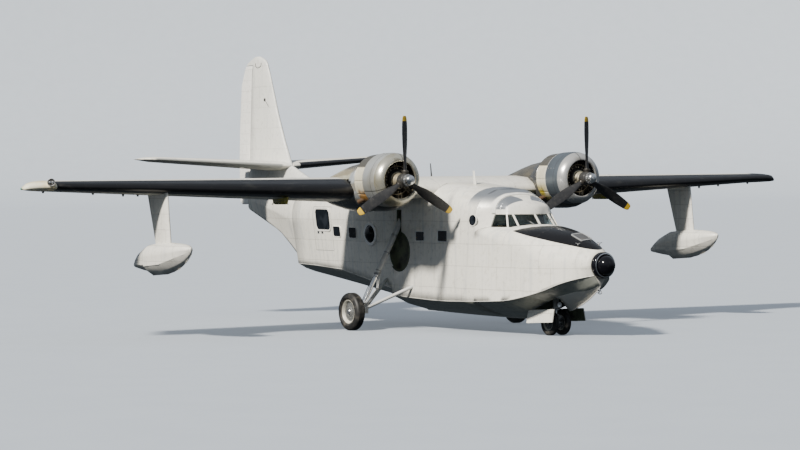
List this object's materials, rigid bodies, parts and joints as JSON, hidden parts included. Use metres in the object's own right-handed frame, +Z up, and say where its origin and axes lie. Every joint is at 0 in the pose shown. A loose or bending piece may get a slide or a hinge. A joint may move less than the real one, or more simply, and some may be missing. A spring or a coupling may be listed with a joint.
{
  "type": "amphibious flying boat",
  "caption": "Amphibious flying boat on its wheels: stepped hull, high wing, radial engines with turning propellers, wing floats, steered nose gear and hinged control surfaces.",
  "frame": {"origin": "on the ground under the middle of the aircraft's overall length and span", "axes": "+X towards the bow, +Y to port, +Z up"},
  "size_m": [18.49, 24.38, 7.74],
  "materials": {
    "white_paint": "satin",
    "wing_paint": "satin",
    "black_paint": "satin",
    "cowl_metal": "satin",
    "gear_steel": "satin",
    "engine_metal": "matte",
    "nacelle_paint": "satin",
    "band_paint": "satin",
    "tyre_rubber": "matte",
    "cockpit_glass": "polished",
    "seat_leather": "satin",
    "panel_plastic": "matte",
    "olive_paint": "matte"
  },
  "bodies": {
    "airframe": {"hull_bow": "white_paint", "hull_mid": "white_paint", "hull_aft": "white_paint", "hull_tail": "white_paint", "cockpit_canopy": "white_paint", "cockpit_glazing": "cockpit_glass", "wing_centre": "wing_paint", "fin": "white_paint", "nose_radome": "black_paint", "nose_ring": "gear_steel", "nose_leg": "gear_steel", "instrument_panel": "panel_plastic", "aerial_blade": "white_paint", "aerial_mast": "black_paint", "wing_outer_port": "wing_paint", "tailplane_port": "wing_paint", "nacelle_port": "nacelle_paint", "cowl_flaps_port": "band_paint", "cowl_port": "cowl_metal", "engine_port": "engine_metal", "float_port": "white_paint", "float_strut_port": "white_paint", "stores_pylon_port": "olive_paint", "main_leg_port": "gear_steel", "main_truss_port": "gear_steel", "nose_door_port": "white_paint", "pilot_seat_port": "seat_leather", "wing_outer_starboard": "wing_paint", "tailplane_starboard": "wing_paint", "nacelle_starboard": "nacelle_paint", "cowl_flaps_starboard": "band_paint", "cowl_starboard": "cowl_metal", "engine_starboard": "engine_metal", "float_starboard": "white_paint", "float_strut_starboard": "white_paint", "stores_pylon_starboard": "olive_paint", "main_leg_starboard": "gear_steel", "main_truss_starboard": "gear_steel", "nose_door_starboard": "white_paint", "pilot_seat_starboard": "seat_leather"},
    "propeller_port": {"propeller_port": "black_paint"},
    "main_wheel_port": {"main_tyre_port": "tyre_rubber", "main_wheel_port": "cowl_metal"},
    "aileron_port": {"aileron_port": "wing_paint"},
    "flap_inner_port": {"flap_inner_port": "wing_paint"},
    "flap_outer_port": {"flap_outer_port": "wing_paint"},
    "elevator_port": {"elevator_port": "wing_paint"},
    "propeller_starboard": {"propeller_starboard": "black_paint"},
    "main_wheel_starboard": {"main_tyre_starboard": "tyre_rubber", "main_wheel_starboard": "cowl_metal"},
    "aileron_starboard": {"aileron_starboard": "wing_paint"},
    "flap_inner_starboard": {"flap_inner_starboard": "wing_paint"},
    "flap_outer_starboard": {"flap_outer_starboard": "wing_paint"},
    "elevator_starboard": {"elevator_starboard": "wing_paint"},
    "rudder": {"rudder": "white_paint"},
    "nose_strut": {"nose_strut": "gear_steel"},
    "nose_wheels": {"nose_tyre_port": "tyre_rubber", "nose_tyre_starboard": "tyre_rubber", "nose_wheel_port": "cowl_metal", "nose_wheel_starboard": "cowl_metal"}
  },
  "joints": [
    {"name": "propeller_port_spin", "type": "hinge", "parent": "airframe", "child": "propeller_port", "pos_m": [4.39, 2.92, 4], "axis": [1, 0, 0], "continuous": true},
    {"name": "main_wheel_port_spin", "type": "hinge", "parent": "airframe", "child": "main_wheel_port", "pos_m": [1.37, 2.69, 0.50365], "axis": [0, 1, 0], "continuous": true},
    {"name": "propeller_starboard_spin", "type": "hinge", "parent": "airframe", "child": "propeller_starboard", "pos_m": [4.39, -2.92, 4], "axis": [1, 0, 0], "continuous": true},
    {"name": "main_wheel_starboard_spin", "type": "hinge", "parent": "airframe", "child": "main_wheel_starboard", "pos_m": [1.37, -2.69, 0.50365], "axis": [0, 1, 0], "continuous": true},
    {"name": "aileron_port_hinge", "type": "hinge", "parent": "airframe", "child": "aileron_port", "pos_m": [0.012, 7.29, 3.812], "axis": [0.0149, 0.9997, 0.0206], "range_deg": [-20, 20]},
    {"name": "aileron_starboard_hinge", "type": "hinge", "parent": "airframe", "child": "aileron_starboard", "pos_m": [0.012, -7.29, 3.812], "axis": [-0.0149, 0.9997, -0.0206], "range_deg": [-20, 20]},
    {"name": "flap_inner_port_hinge", "type": "hinge", "parent": "airframe", "child": "flap_inner_port", "pos_m": [-0.05, 1.27, 3.74], "axis": [0, -1, 0], "range_deg": [0, 40]},
    {"name": "flap_inner_starboard_hinge", "type": "hinge", "parent": "airframe", "child": "flap_inner_starboard", "pos_m": [-0.05, -1.27, 3.74], "axis": [0, -1, 0], "range_deg": [0, 40]},
    {"name": "flap_outer_port_hinge", "type": "hinge", "parent": "airframe", "child": "flap_outer_port", "pos_m": [-0.05, 3.78, 3.742], "axis": [-0.0176, -0.9996, -0.02], "range_deg": [0, 40]},
    {"name": "flap_outer_starboard_hinge", "type": "hinge", "parent": "airframe", "child": "flap_outer_starboard", "pos_m": [-0.05, -3.78, 3.742], "axis": [0.0176, -0.9996, 0.02], "range_deg": [0, 40]},
    {"name": "elevator_port_hinge", "type": "hinge", "parent": "airframe", "child": "elevator_port", "pos_m": [-7.72, 0.27, 4.461], "axis": [0, 0.9986, 0.0537], "range_deg": [-25, 25]},
    {"name": "elevator_starboard_hinge", "type": "hinge", "parent": "airframe", "child": "elevator_starboard", "pos_m": [-7.72, -0.27, 4.461], "axis": [0, 0.9986, -0.0537], "range_deg": [-25, 25]},
    {"name": "rudder_hinge", "type": "hinge", "parent": "airframe", "child": "rudder", "pos_m": [-8.57, 0, 4.6], "axis": [0.0725, 0, 0.9974], "range_deg": [-25, 25]},
    {"name": "nose_steering", "type": "hinge", "parent": "airframe", "child": "nose_strut", "pos_m": [6.9, 0, 0.32594], "axis": [0, 0, 1], "range_deg": [-30, 30]},
    {"name": "nose_wheels_spin", "type": "hinge", "parent": "nose_strut", "child": "nose_wheels", "pos_m": [6.9, 0, 0.32594], "axis": [0, 1, 0], "continuous": true}
  ],
  "couplings": [
    {"joint": "aileron_starboard_hinge", "follows": "aileron_port_hinge", "ratio": -1},
    {"joint": "flap_inner_starboard_hinge", "follows": "flap_inner_port_hinge", "ratio": 1},
    {"joint": "flap_outer_port_hinge", "follows": "flap_inner_port_hinge", "ratio": 1},
    {"joint": "flap_outer_starboard_hinge", "follows": "flap_inner_port_hinge", "ratio": 1},
    {"joint": "elevator_starboard_hinge", "follows": "elevator_port_hinge", "ratio": 1}
  ]
}
